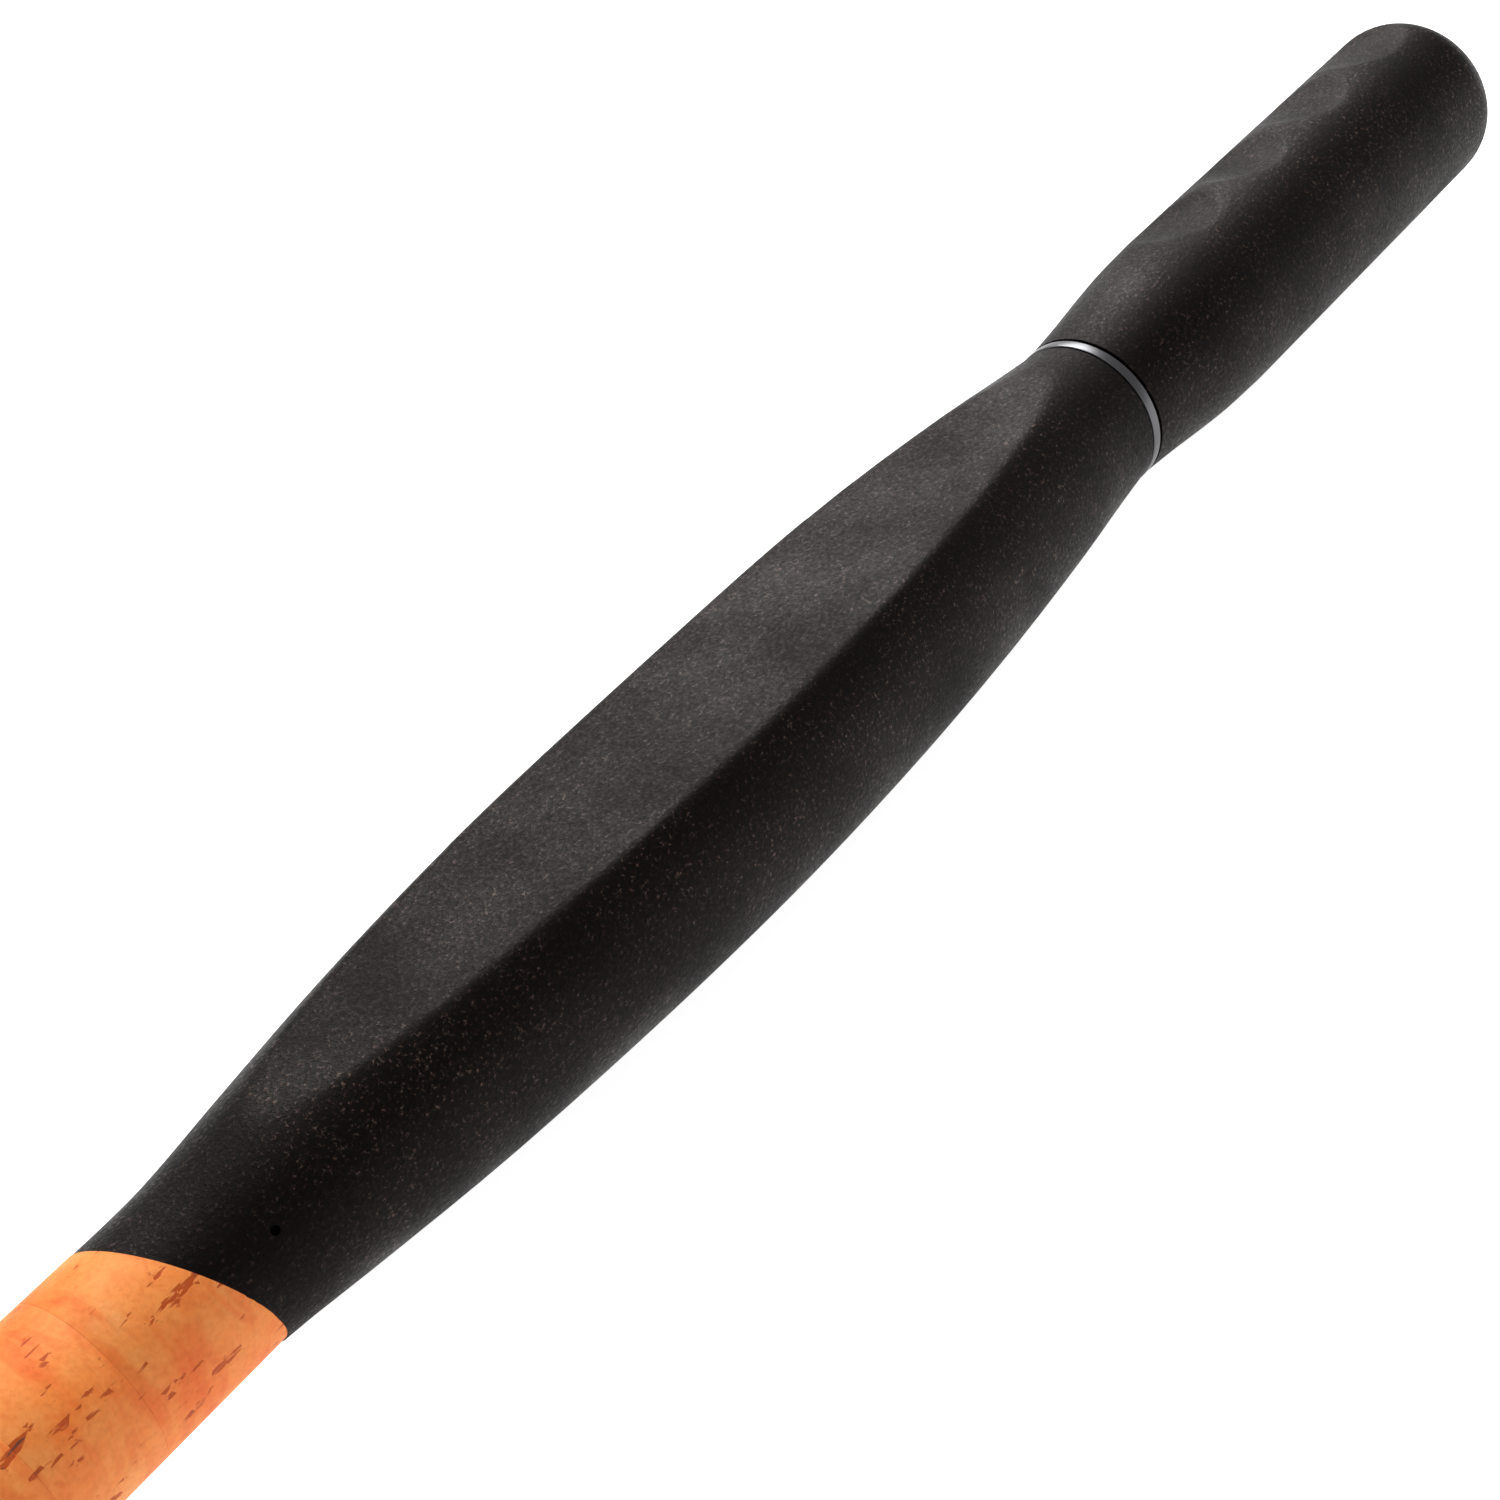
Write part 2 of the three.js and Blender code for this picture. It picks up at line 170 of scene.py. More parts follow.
def turned(name, outline, sides=SIDES):
    """A ring drawn at the outline's first (x, radius) point and extruded through the others.
    A radius is a number, or a function of the angle from the reel side. An outline that ends
    where it starts is closed; an open one gets a flat face on each end."""
    deselect()
    bpy.ops.mesh.primitive_circle_add(
        vertices=sides,
        radius=BLANK_R,
        location=(0, 0, 0),
        rotation=(0, math.pi / 2, 0),
        fill_type="NOTHING",
    )
    piece = bpy.context.object
    piece.name = name
    apply_place(piece)
    closed = outline[0] == outline[-1]
    bpy.ops.object.mode_set(mode="EDIT")
    bpy.ops.mesh.select_all(action="SELECT")
    if not closed:
        bpy.ops.mesh.edge_face_add()
    for number, (x, radius) in enumerate(outline):
        if number:
            bpy.ops.mesh.extrude_region_move(TRANSFORM_OT_translate={"value": (0, 0, 0)})
        mesh = bmesh.from_edit_mesh(piece.data)
        for corner in mesh.verts:
            if corner.select:
                angle = math.atan2(corner.co.y, -corner.co.z)
                reach = radius(angle) if callable(radius) else radius
                corner.co = (x, reach * math.sin(angle), -reach * math.cos(angle))
        bmesh.update_edit_mesh(piece.data)
    bpy.ops.mesh.select_all(action="SELECT")
    bpy.ops.mesh.remove_doubles(threshold=1e-6)
    bpy.ops.mesh.normals_make_consistent(inside=False)
    bpy.ops.object.mode_set(mode="OBJECT")
    return piece


def arc(centre, radius, start, stop, steps):
    """Points of an arc in the (x, radius) plane, with angles in degrees from +X."""
    points = []
    for step in range(steps + 1):
        angle = math.radians(start + (stop - start) * step / steps)
        x = centre[0] + radius * math.cos(angle)
        points.append((x, centre[1] + radius * math.sin(angle)))
    return points


def smooth_curve(points, samples):
    """A Catmull-Rom curve through (x, radius) points given in millimetres."""
    points = [(x * MM, r * MM) for x, r in points]
    ends = [points[0], *points, points[-1]]
    result = []
    for i in range(len(points) - 1):
        a, b, c, d = ends[i:i + 4]
        for step in range(samples):
            t = step / samples
            result.append(tuple(
                0.5 * (2 * b[k] + (c[k] - a[k]) * t
                       + (2 * a[k] - 5 * b[k] + 4 * c[k] - d[k]) * t * t
                       + (3 * b[k] - a[k] - 3 * c[k] + d[k]) * t ** 3)
                for k in (0, 1)
            ))
    return result + [points[-1]]


def collar_outline(start, stop, radius, bore, edge):
    """A plain ring with rounded outer edges."""
    rear = arc((start + edge, radius - edge), edge, 180, 90, 4)
    front = arc((stop - edge, radius - edge), edge, 90, 0, 4)
    return [(start, bore), *rear, *front, (stop, bore), (start, bore)]


def arch_radius(half, roof, round_radius, squareness, fillet):
    """The outline of a round sleeve with a rounded square arch on its reel side."""
    def reach(angle):
        up, across = math.cos(angle), abs(math.sin(angle))
        arch = half
        if up > 0:
            arch = ((across / half) ** squareness + (up / roof) ** squareness) ** (-1 / squareness)
        return (round_radius + arch + math.hypot(round_radius - arch, fillet)) / 2
    return reach


def modify(piece, kind, **settings):
    pick(piece)
    modifier = piece.modifiers.new(kind.title(), kind)
    for key, value in settings.items():
        setattr(modifier, key, value)
    bpy.ops.object.modifier_apply(modifier=modifier.name)
    return piece


def cut(piece, cutter, operation="DIFFERENCE"):
    modify(piece, "BOOLEAN", object=cutter, operation=operation, solver="EXACT")
    bpy.data.objects.remove(cutter)
    return piece


def block(low, high, turn=0.0):
    """A block between two corners, turned about the handle's axis."""
    low, high = Vector(low), Vector(high)
    deselect()
    bpy.ops.mesh.primitive_cube_add(size=1, location=(low + high) / 2)
    made = bpy.context.object
    made.scale = high - low
    apply_place(made)
    made.rotation_euler.x = turn
    return apply_place(made)


def cross_pin(x, at, radius, length, sides=48):
    """A round bar across the handle, at a distance towards the reel side."""
    deselect()
    bpy.ops.mesh.primitive_cylinder_add(
        vertices=sides,
        radius=radius,
        depth=length,
        location=(x, 0, -at),
        rotation=(math.pi / 2, 0, 0),
    )
    return apply_place(bpy.context.object)


def slice_off(piece, at, slant, keep_front):
    """Cuts a piece square or at a slant where the cut crosses the axis at x = at."""
    pick(piece)
    bpy.ops.object.mode_set(mode="EDIT")
    bpy.ops.mesh.select_all(action="SELECT")
    bpy.ops.mesh.bisect(
        plane_co=(at, 0, 0),
        plane_no=(math.cos(slant), 0, math.sin(slant)),
        use_fill=True,
        clear_inner=keep_front,
        clear_outer=not keep_front,
    )
    bpy.ops.object.mode_set(mode="OBJECT")
    return piece


def ream(piece, start, stop):
    """Reams the hole for the blank."""
    return cut(piece, turned("reamer", [(start, BORE), (stop, BORE)], 64))


def finish_piece(piece, body, nodes, material, angle=35):
    """Turns a finished piece into place and ties it to the frame."""
    piece.rotation_euler.x = TURN
    apply_place(piece)
    bpy.ops.object.shade_smooth_by_angle(angle=math.radians(angle))
    piece.data.materials.clear()
    piece.data.materials.append(material)
    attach(piece, body)
    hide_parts(*nodes)
    return piece


# Materials.

def linear(colour):
    """An sRGB hex colour as linear red, green, blue and alpha."""
    values = []
    for start in (1, 3, 5):
        value = int(colour[start:start + 2], 16) / 255
        values.append(value / 12.92 if value <= 0.04045 else ((value + 0.055) / 1.055) ** 2.4)
    return (*values, 1.0)


def add(tree, kind, settings=None, links=None):
    """Adds a node, sets its fields, inputs and colour stops, and links its inputs."""
    node = tree.nodes.new(kind)
    for key, value in (settings or {}).items():
        if key == "stops":
            elements = node.color_ramp.elements
            while len(elements) < len(value):
                elements.new(0.5)
            for element, (position, colour) in zip(elements, value):
                element.position = position
                element.color = linear(colour)
        elif isinstance(key, str) and hasattr(node, key):
            setattr(node, key, value)
        else:
            node.inputs[key].default_value = value
    for key, source in (links or {}).items():
        tree.links.new(source, node.inputs[key])
    return node


def new_material(name, **settings):
    """A material with the constants set on its shader, its node tree and object coordinates."""
    material = bpy.data.materials.new(name)
    material.use_nodes = True
    tree = material.node_tree
    shader = tree.nodes["Principled BSDF"]
    for key, value in settings.items():
        shader.inputs[key.replace("_", " ")].default_value = value
    here = add(tree, "ShaderNodeTexCoord").outputs["Object"]
    return material, tree, shader, here


def eva_foam():
    """Closed-cell EVA foam, turned and sanded. The belt opens the top cells, so the warm black
    carries a grain of pale specks about 0.3 mm across, cloudy where it pressed harder, and
    catches light softly where it grazes."""
    material, tree, shader, here = new_material(
        "sanded_eva_foam",
        Specular_IOR_Level=0.095,
        Specular_Tint=linear("#ffe8e0"),
    )
    cells = add(tree, "ShaderNodeTexNoise", {"Scale": 1900, "Detail": 3.0, "Roughness": 0.75},
                {"Vector": here})
    dust = add(tree, "ShaderNodeTexNoise", {"Scale": 700, "Detail": 3.0}, {"Vector": here})
    cloud = add(tree, "ShaderNodeTexNoise", {"Scale": 70, "Detail": 4.0}, {"Vector": here})
    base = add(tree, "ShaderNodeValToRGB", {"stops": [
        (0.42, "#010101"),
        (0.53, "#080504"),
        (0.60, "#1f1613"),
        (0.69, "#6a5850"),
    ]}, {"Fac": cells.outputs["Fac"]})
    tint = add(tree, "ShaderNodeValToRGB", {"stops": [
        (0.35, "#b8aca8"),
        (0.65, "#ffffff"),
    ]}, {"Fac": dust.outputs["Fac"]})
    shade = add(tree, "ShaderNodeValToRGB", {"stops": [
        (0.34, "#787472"),
        (0.62, "#ffffff"),
    ]}, {"Fac": cloud.outputs["Fac"]})
    dusty = add(tree, "ShaderNodeMix", {"data_type": "RGBA", "blend_type": "MULTIPLY", 0: 1.0},
                {6: base.outputs["Color"], 7: tint.outputs["Color"]})
    whole = add(tree, "ShaderNodeMix", {"data_type": "RGBA", "blend_type": "MULTIPLY", 0: 1.0},
                {6: dusty.outputs[2], 7: shade.outputs["Color"]})
    tree.links.new(whole.outputs[2], shader.inputs["Base Color"])
    worn = add(tree, "ShaderNodeMath", {"operation": "MULTIPLY_ADD", 1: 0.6},
               {0: cloud.outputs["Fac"], 2: cells.outputs["Fac"]})
    rough = add(tree, "ShaderNodeMapRange",
                {"From Min": 0.62, "From Max": 0.98, "To Min": 0.64, "To Max": 0.38},
                {"Value": worn.outputs[0]})
    tree.links.new(rough.outputs["Result"], shader.inputs["Roughness"])
    bump = add(tree, "ShaderNodeBump", {"Strength": 0.9, "Distance": 0.00013},
               {"Height": cells.outputs["Fac"]})
    tree.links.new(bump.outputs["Normal"], shader.inputs["Normal"])
    return material


def natural_cork():
    """Natural cork, turned, sanded and sealed. Warm orange tan with soft growth bands. Its pores
    are thin jagged cracks a few millimetres long that run with the handle and step sideways
    every millimetre or so, mostly filled and orange brown, and dark where they stay open."""
    material, tree, shader, here = new_material(
        "sanded_natural_cork",
        Roughness=0.62,
        Specular_IOR_Level=0.3,
    )
    steps = add(tree, "ShaderNodeTexVoronoi", {"Scale": 620}, {"Vector": here})
    stepped = add(tree, "ShaderNodeVectorMath",
                  {"operation": "MULTIPLY_ADD", 1: (0.0016, 0.0007, 0.0007)},
                  {0: steps.outputs["Color"], 2: here})
    along = add(tree, "ShaderNodeMapping", {"Scale": (0.2, 1.0, 1.0)},
                {"Vector": stepped.outputs["Vector"]})
    across = add(tree, "ShaderNodeMapping", {"Scale": (1.9, 0.6, 0.6)}, {"Vector": here})
    cloud = add(tree, "ShaderNodeTexNoise", {"Scale": 110, "Detail": 4.0, "Roughness": 0.6},
                {"Vector": here})
    bands = add(tree, "ShaderNodeTexNoise", {"Scale": 130, "Detail": 3.0, "Distortion": 1.2},
                {"Vector": across.outputs["Vector"]})
    grain = add(tree, "ShaderNodeTexNoise", {"Scale": 1500, "Detail": 3.0}, {"Vector": here})
    cracks = add(tree, "ShaderNodeTexNoise",
                 {"Scale": 640, "Detail": 4.0, "Roughness": 0.55},
                 {"Vector": along.outputs["Vector"]})
    patches = add(tree, "ShaderNodeTexNoise", {"Scale": 120, "Detail": 1.0}, {"Vector": here})
    base = add(tree, "ShaderNodeValToRGB", {"stops": [
        (0.30, "#fd8232"),
        (0.45, "#ff9241"),
        (0.60, "#ff9d4e"),
        (0.75, "#ffae66"),
    ]}, {"Fac": cloud.outputs["Fac"]})
    streak = add(tree, "ShaderNodeValToRGB", {"stops": [
        (0.36, "#f2b880"),
        (0.52, "#ffffff"),
    ]}, {"Fac": bands.outputs["Fac"]})
    fine = add(tree, "ShaderNodeValToRGB", {"stops": [
        (0.30, "#f4eae2"),
        (0.60, "#ffffff"),
    ]}, {"Fac": grain.outputs["Fac"]})
    banded = add(tree, "ShaderNodeMix", {"data_type": "RGBA", "blend_type": "MULTIPLY", 0: 0.55},
                 {6: base.outputs["Color"], 7: streak.outputs["Color"]})
    sanded = add(tree, "ShaderNodeMix", {"data_type": "RGBA", "blend_type": "MULTIPLY", 0: 1.0},
                 {6: banded.outputs[2], 7: fine.outputs["Color"]})
    clustered = add(tree, "ShaderNodeMath", {"operation": "MULTIPLY_ADD", 1: 0.28},
                    {0: patches.outputs["Fac"], 2: cracks.outputs["Fac"]})
    crack = add(tree, "ShaderNodeValToRGB", {"stops": [
        (0.76, "#000000"),
        (0.79, "#ffffff"),
    ]}, {"Fac": clustered.outputs[0]})
    pit = add(tree, "ShaderNodeValToRGB", {"stops": [
        (0.85, "#000000"),
        (0.88, "#ffffff"),
    ]}, {"Fac": clustered.outputs[0]})
    cracked = add(tree, "ShaderNodeMix", {"data_type": "RGBA", 7: linear("#c4500e")},
                  {0: crack.outputs["Color"], 6: sanded.outputs[2]})
    pitted = add(tree, "ShaderNodeMix", {"data_type": "RGBA", 7: linear("#6e4030")},
                 {0: pit.outputs["Color"], 6: cracked.outputs[2]})
    tree.links.new(pitted.outputs[2], shader.inputs["Base Color"])
    height = add(tree, "ShaderNodeMath", {"operation": "MULTIPLY_ADD", 1: -1.2},
                 {0: crack.outputs["Color"], 2: grain.outputs["Fac"]})
    bump = add(tree, "ShaderNodeBump", {"Strength": 0.35, "Distance": 0.00015},
               {"Height": height.outputs[0]})
    tree.links.new(bump.outputs["Normal"], shader.inputs["Normal"])
    return material


def satin_aluminium():
    """Turned and anodised aluminium: a mid grey metal with lathe lines round it, 0.15 mm apart."""
    material, tree, shader, here = new_material(
        "satin_anodised_aluminium",
        Metallic=1.0,
        Base_Color=linear("#5c5c5e"),
    )
    around = add(tree, "ShaderNodeMapping", {"Scale": (1.0, 0.02, 0.02)}, {"Vector": here})
    lines = add(tree, "ShaderNodeTexNoise", {"Scale": 6500, "Detail": 2.0},
                {"Vector": around.outputs["Vector"]})
    rough = add(tree, "ShaderNodeMapRange", {"To Min": 0.26, "To Max": 0.44},
                {"Value": lines.outputs["Fac"]})
    tree.links.new(rough.outputs["Result"], shader.inputs["Roughness"])
    bump = add(tree, "ShaderNodeBump", {"Strength": 0.15, "Distance": 0.00003},
               {"Height": lines.outputs["Fac"]})
    tree.links.new(bump.outputs["Normal"], shader.inputs["Normal"])
    return material


def filled_nylon():
    """Glass-filled nylon, moulded: near black, a soft sheen, and a fine mottle where the short
    fibres come near the surface."""
    material, tree, shader, here = new_material("moulded_glass_filled_nylon")
    fibres = add(tree, "ShaderNodeMapping", {"Scale": (0.3, 1.0, 1.0)}, {"Vector": here})
    mottle = add(tree, "ShaderNodeTexNoise", {"Scale": 1400, "Detail": 4.0, "Distortion": 0.4},
                 {"Vector": fibres.outputs["Vector"]})
    base = add(tree, "ShaderNodeValToRGB", {"stops": [
        (0.35, "#151617"),
        (0.60, "#202225"),
        (0.78, "#2f3236"),
    ]}, {"Fac": mottle.outputs["Fac"]})
    rough = add(tree, "ShaderNodeMapRange", {"To Min": 0.32, "To Max": 0.52},
                {"Value": mottle.outputs["Fac"]})
    tree.links.new(base.outputs["Color"], shader.inputs["Base Color"])
    tree.links.new(rough.outputs["Result"], shader.inputs["Roughness"])
    bump = add(tree, "ShaderNodeBump", {"Strength": 0.2, "Distance": 0.00004},
               {"Height": mottle.outputs["Fac"]})
    tree.links.new(bump.outputs["Normal"], shader.inputs["Normal"])
    return material


def brushed_stainless():
    """Stainless sheet, drawn and brushed along the handle: mid grey, streaks 0.1 mm wide."""
    material, tree, shader, here = new_material("brushed_stainless_sheet", Metallic=1.0)
    brushed = add(tree, "ShaderNodeMapping", {"Scale": (0.03, 1.0, 1.0)}, {"Vector": here})
    streaks = add(tree, "ShaderNodeTexNoise", {"Scale": 7000, "Detail": 3.0},
                  {"Vector": brushed.outputs["Vector"]})
    base = add(tree, "ShaderNodeValToRGB", {"stops": [
        (0.35, "#848588"),
        (0.65, "#a3a4a7"),
    ]}, {"Fac": streaks.outputs["Fac"]})
    rough = add(tree, "ShaderNodeMapRange", {"To Min": 0.2, "To Max": 0.4},
                {"Value": streaks.outputs["Fac"]})
    tree.links.new(base.outputs["Color"], shader.inputs["Base Color"])
    tree.links.new(rough.outputs["Result"], shader.inputs["Roughness"])
    bump = add(tree, "ShaderNodeBump", {"Strength": 0.12, "Distance": 0.00003},
               {"Height": streaks.outputs["Fac"]})
    tree.links.new(bump.outputs["Normal"], shader.inputs["Normal"])
    return material


def grained(name, colours, scale, roughness, strength):
    """A dull material with one grain: soft rubber, board or liner."""
    material, tree, shader, here = new_material(name, Roughness=roughness, Specular_IOR_Level=0.35)
    grain = add(tree, "ShaderNodeTexNoise", {"Scale": scale, "Detail": 4.0}, {"Vector": here})
    base = add(tree, "ShaderNodeValToRGB", {"stops": [(0.3, colours[0]), (0.7, colours[1])]},
               {"Fac": grain.outputs["Fac"]})
    tree.links.new(base.outputs["Color"], shader.inputs["Base Color"])
    bump = add(tree, "ShaderNodeBump", {"Strength": strength, "Distance": 0.0001},
               {"Height": grain.outputs["Fac"]})
    tree.links.new(bump.outputs["Normal"], shader.inputs["Normal"])
    return material


def carbon_blank():
    """A carbon tube, rolled from sheet under shrink tape and clear-coated. Near black with fine
    lengthwise fibres and the tape's faint bands 2.4 mm apart, under a hard gloss."""
    material, tree, shader, here = new_material(
        "clear_coated_carbon_tube",
        Roughness=0.38,
        Coat_Weight=1.0,
        Coat_Roughness=0.06,
    )
    lengthwise = add(tree, "ShaderNodeMapping", {"Scale": (0.02, 1.0, 1.0)}, {"Vector": here})
    fibres = add(tree, "ShaderNodeTexNoise", {"Scale": 5000, "Detail": 3.0},
                 {"Vector": lengthwise.outputs["Vector"]})
    tape = add(tree, "ShaderNodeTexWave",
               {"wave_profile": "SIN", "bands_direction": "X", "Scale": 2.6 / 0.048,
                "Distortion": 0.4, "Detail": 1.0},
               {"Vector": here})
    base = add(tree, "ShaderNodeValToRGB", {"stops": [
        (0.35, "#0e0f11"),
        (0.65, "#26282c"),
    ]}, {"Fac": fibres.outputs["Fac"]})
    banded = add(tree, "ShaderNodeValToRGB", {"stops": [
        (0.0, "#b4b4b8"),
        (0.6, "#ffffff"),
    ]}, {"Fac": tape.outputs["Fac"]})
    whole = add(tree, "ShaderNodeMix", {"data_type": "RGBA", "blend_type": "MULTIPLY", 0: 0.6},
                {6: base.outputs["Color"], 7: banded.outputs["Color"]})
    tree.links.new(whole.outputs[2], shader.inputs["Base Color"])
    bump = add(tree, "ShaderNodeBump", {"Strength": 0.1, "Distance": 0.00004},
               {"Height": tape.outputs["Fac"]})
    tree.links.new(bump.outputs["Normal"], shader.inputs["Normal"])
    return material


def keeper_steel():
    """Bent stainless wire and strip, polished: bright, with hair scratches in its gloss."""
    material, tree, shader, here = new_material(
        "polished_stainless_wire",
        Metallic=1.0,
        Base_Color=linear("#b2b3b6"),
    )
    scratches = add(tree, "ShaderNodeTexNoise", {"Scale": 3200, "Detail": 4.0, "Distortion": 1.0},
                    {"Vector": here})
    rough = add(tree, "ShaderNodeMapRange", {"To Min": 0.08, "To Max": 0.26},
                {"Value": scratches.outputs["Fac"]})
    tree.links.new(rough.outputs["Result"], shader.inputs["Roughness"])
    return material


def binding_thread():
    """Nylon rod thread wound turn by turn and varnished: dark blue-grey under a clear gloss."""
    material, tree, shader, here = new_material(
        "varnished_nylon_thread",
        Roughness=0.5,
        Coat_Weight=1.0,
        Coat_Roughness=0.1,
    )
    around = add(tree, "ShaderNodeMapping", {"Scale": (1.0, 0.25, 0.25)}, {"Vector": here})
    turns = add(tree, "ShaderNodeTexNoise", {"Scale": 2600, "Detail": 2.0},
                {"Vector": around.outputs["Vector"]})
    base = add(tree, "ShaderNodeValToRGB", {"stops": [
        (0.35, "#17212b"),
        (0.65, "#2c3b49"),
    ]}, {"Fac": turns.outputs["Fac"]})
    tree.links.new(base.outputs["Color"], shader.inputs["Base Color"])
    return material


EVA = eva_foam()
CORK = natural_cork()
ALUMINIUM = satin_aluminium()
NYLON = filled_nylon()
STAINLESS = brushed_stainless()
CARBON = carbon_blank()
KEEPER_STEEL = keeper_steel()
THREAD = binding_thread()
# Thermoplastic rubber, moulded: charcoal with a fine matt grain.
LINER = grained("moulded_soft_liner", ["#25272a", "#3a3d42"], 2200, 0.8, 0.3)
# Pressed fibre board, cut into tubes: grey tan and fibrous.
BOARD = grained("pressed_fibre_board", ["#776f60", "#9d9584"], 700, 0.9, 0.5)
# Cast rubber: plain black with a dusty bloom.
RUBBER = grained("cast_black_rubber", ["#161616", "#2a2a29"], 900, 0.85, 0.3)


# Foam grips.

def butt_grip():
    front = place("butt_grip", 1)
    waist = smooth_curve([(75, 14.1), (83, 13.8), (89, 13.3), (97, 12.45), (103.9, 11.85)], 8)
    end = arc((BUTT_EDGE, BUTT_R - BUTT_EDGE), BUTT_EDGE, 180, 90, 14)
    grip = turned("butt_grip_foam", [*end, *waist, (front + 4 * MM, NECK_R)])
    cutter_r = (SCOOP_HALF_LENGTH ** 2 + SCOOP_DEPTH ** 2) / (2 * SCOOP_DEPTH)
    for x in SCOOP_X:
        for side in (-1, 1):
            scoop = cross_pin(x, BUTT_R - SCOOP_DEPTH + cutter_r, cutter_r, 3 * BUTT_R, 160)
            scoop.rotation_euler.x = side * SCOOP_TILT
            cut(grip, apply_place(scoop))
    modify(grip, "REMESH", mode="VOXEL", voxel_size=BUTT_VOXEL)
    modify(grip, "SMOOTH", factor=SANDING, iterations=BUTT_SANDING)
    slice_off(grip, front, 0, keep_front=False)
    ream(grip, place("rod_blank", 0) - 0.3 * MM, front + 5 * MM)
    finish_piece(grip, "handle", ["butt_grip"], EVA, 50)


def keeled(radius):
    """A round outline worn flatter along its reel side, where the two flats nearly meet."""
    def reach(angle):
        keel = KEEL_AT / max(math.cos(angle), 0.01)
        return (radius + keel - math.hypot(radius - keel, KEEL_BLEND)) / 2
    return reach


def rear_grip():
    outline = smooth_curve([
        (100, 11.4), (106.3, 11.8), (114, 12.6), (128, 14.2), (148, 15.9), (169, 17.0),
        (190, 17.4), (210, 17.1), (231, 16.15), (251, 14.75), (269, 12.85), (280, 11.55),
        (287, 11.1), (301, 11.1),
    ], 5)
    grip = turned("rear_grip_foam", [(x, keeled(radius)) for x, radius in outline])
    for side in (-1, 1):
        cut(grip, block((0.08, -0.04, -0.04), (0.32, 0.04, -FLAT_AT), side * math.pi / 4))
    modify(grip, "REMESH", mode="VOXEL", voxel_size=REAR_VOXEL)
    modify(grip, "SMOOTH", factor=SANDING, iterations=REAR_SANDING)
    slice_off(grip, place("rear_grip", 0), 0, keep_front=True)
    slice_off(grip, REAR_TO, SLANT, keep_front=False)
    ream(grip, 0.09, 0.32)
    deselect()
    bpy.ops.mesh.primitive_ico_sphere_add(subdivisions=3, radius=BLOWHOLE_R, location=BLOWHOLE)
    cut(grip, apply_place(bpy.context.object))
    finish_piece(grip, "handle", ["rear_grip"], EVA, 50)


def fore_grip_cap():
    start, stop = place("fore_grip_cap", 0), place("fore_grip_cap", 1) + GLUED_GAP
    flare = smooth_curve([
        (start / MM, FORE_R[-1]), (start / MM + 3.5, 10.6), (start / MM + 7.2, 9.9),
        (start / MM + 11, 9.35), (stop / MM - 0.9, 8.95),
    ], 5)
    nose = arc((stop - 0.6 * MM, FORE_CAP_R - 0.6 * MM), 0.6 * MM, 90, 0, 4)
    outline = [(start, BORE), *flare, *nose, (stop, BORE), (start, BORE)]
    cap = turned("fore_grip_cap_foam", outline)
    finish_piece(cap, "handle", ["fore_grip_cap"], EVA, 50)


# Cork.

def cork_rings():
    for number in range(1, CORK_RINGS + 1):
        start = REAR_TO + (number - 1) * CORK_RING
        stop = start + CORK_RING - GLUE
        first = number == 1
        if first:
            start -= 12 * MM
        ring = turned(f"cork_disc_{number}", collar_outline(start, stop, CORK_R, BORE, 0.02 * MM))
        if first:
            slice_off(ring, REAR_TO + GLUE, SLANT, keep_front=True)
        finish_piece(ring, "handle", [f"cork_ring_{number}"], CORK)


def fore_cork_rings():
    first = place("fore_cork_ring_1", 0)
    points = [((first + n * CORK_RING) / MM, r) for n, r in enumerate(FORE_R)]
    profile = smooth_curve(points, 8)
    for number in range(1, FORE_RINGS + 1):
        part = profile[8 * (number - 1):8 * number + 1]
        start = part[0][0] - (GLUED_GAP if number == 1 else 0)
        stop = part[-1][0] - GLUE
        edge = [(start, part[0][1]), *part[1:-1], (stop, part[-1][1])]
        outline = [(start, BORE), *edge, (stop, BORE), (start, BORE)]
        ring = turned(f"fore_cork_disc_{number}", outline)
        finish_piece(ring, "handle", [f"fore_cork_ring_{number}"], CORK)


# Turned metal trim.

def trim_ring():
    outline = collar_outline(place("trim_ring", 0), place("trim_ring", 1), NECK_R, BORE, 0.15 * MM)
    ring = turned("turned_trim_ring", outline)
    finish_piece(ring, "handle", ["trim_ring"], ALUMINIUM)


def rear_winding_check():
    start, stop = place("rear_winding_check", 0), place("rear_winding_check", 1)
    outline = collar_outline(start - GLUED_GAP, stop + GLUED_GAP, CHECK_R, BORE, 0.5 * MM)
    check = turned("turned_rear_check", outline)
    finish_piece(check, "handle", ["rear_winding_check"], ALUMINIUM)


def front_winding_check():
    start, stop = place("front_winding_check", 0), place("front_winding_check", 1)
    outline = [
        (start, ON_BLANK),
        *arc((start + 0.3 * MM, 8.4 * MM), 0.3 * MM, 180, 90, 4),
        (start + 1.4 * MM, 8.7 * MM),
        *arc((start + 1.6 * MM, 8.7 * MM), 0.2 * MM, 180, 360, 6),
        (start + 2.4 * MM, 8.5 * MM),
        (start + 3.4 * MM, 7.95 * MM),
        (start + 4.4 * MM, 7.4 * MM),
        (stop - 0.3 * MM, 6.85 * MM),
        (stop, 6.55 * MM),
        (stop, ON_BLANK),
        (start, ON_BLANK),
    ]
    check = turned("turned_front_check", outline)
    finish_piece(check, "handle", ["front_winding_check"], ALUMINIUM)


